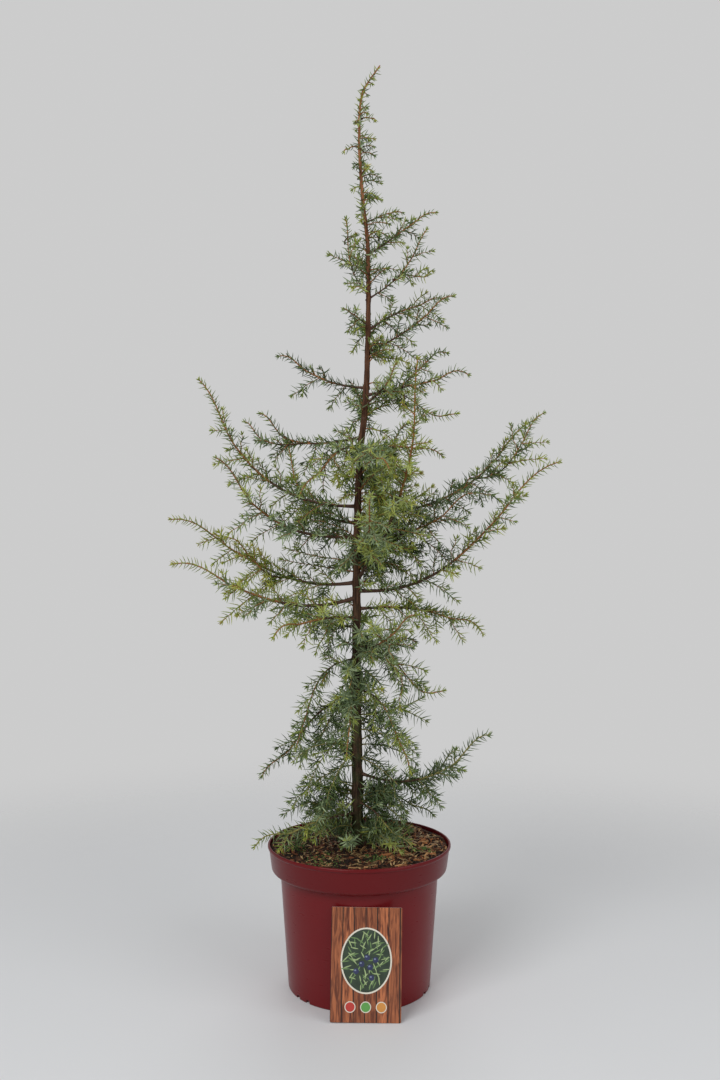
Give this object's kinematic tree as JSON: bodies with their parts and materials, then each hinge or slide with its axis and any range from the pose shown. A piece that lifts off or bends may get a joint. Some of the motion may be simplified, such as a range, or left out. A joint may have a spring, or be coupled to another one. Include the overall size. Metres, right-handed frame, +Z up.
{
  "type": "potted common juniper",
  "caption": "Young upright juniper with a slim leader, spreading bare-based boughs and prickly needle sprays, standing in a round dark red plastic pot with a plain card.",
  "frame": {"origin": "middle of the pot's flat underside", "axes": "+Z up along the trunk, +X to the right and -Y toward the front, where the card leans"},
  "size_m": [0.5702, 0.4268, 1.285],
  "materials": {
    "pot": "satin",
    "soil": "rough crumbly bark compost",
    "bark": "fibrous red-brown bark",
    "foliage": "satin needles",
    "card": "printed card"
  },
  "bodies": {
    "root": {"bough_22": "bark", "bough_23": "bark", "bough_24": "bark", "bough_25": "bark", "bough_28": "bark", "bough_29": "bark", "bough_30": "bark", "bough_31": "bark", "bough_32": "bark", "card": "card", "foliage_01": "foliage", "foliage_02": "foliage", "foliage_03": "foliage", "foliage_04": "foliage", "foliage_05": "foliage", "foliage_06": "foliage", "foliage_07": "foliage", "foliage_08": "foliage", "foliage_09": "foliage", "foliage_10": "foliage", "foliage_11": "foliage", "foliage_12": "foliage", "foliage_13": "foliage", "foliage_14": "foliage", "foliage_15": "foliage", "foliage_16": "foliage", "foliage_17": "foliage", "foliage_18": "foliage", "foliage_19": "foliage", "foliage_20": "foliage", "foliage_21": "foliage", "foliage_22": "foliage", "foliage_23": "foliage", "foliage_24": "foliage", "foliage_25": "foliage", "foliage_26": "foliage", "foliage_27": "foliage", "foliage_28": "foliage", "foliage_29": "foliage", "foliage_30": "foliage", "foliage_31": "foliage", "foliage_32": "foliage", "foliage_33": "foliage", "foliage_34": "foliage", "foliage_35": "foliage", "foliage_36": "foliage", "foliage_37": "foliage", "foliage_38": "foliage", "foliage_39": "foliage", "foliage_40": "foliage", "foliage_41": "foliage", "foliage_42": "foliage", "foliage_43": "foliage", "foliage_44": "foliage", "foliage_45": "foliage", "foliage_46": "foliage", "foliage_tip": "foliage", "pot": "pot", "soil": "soil", "trunk": "bark"}
  },
  "joints": []
}
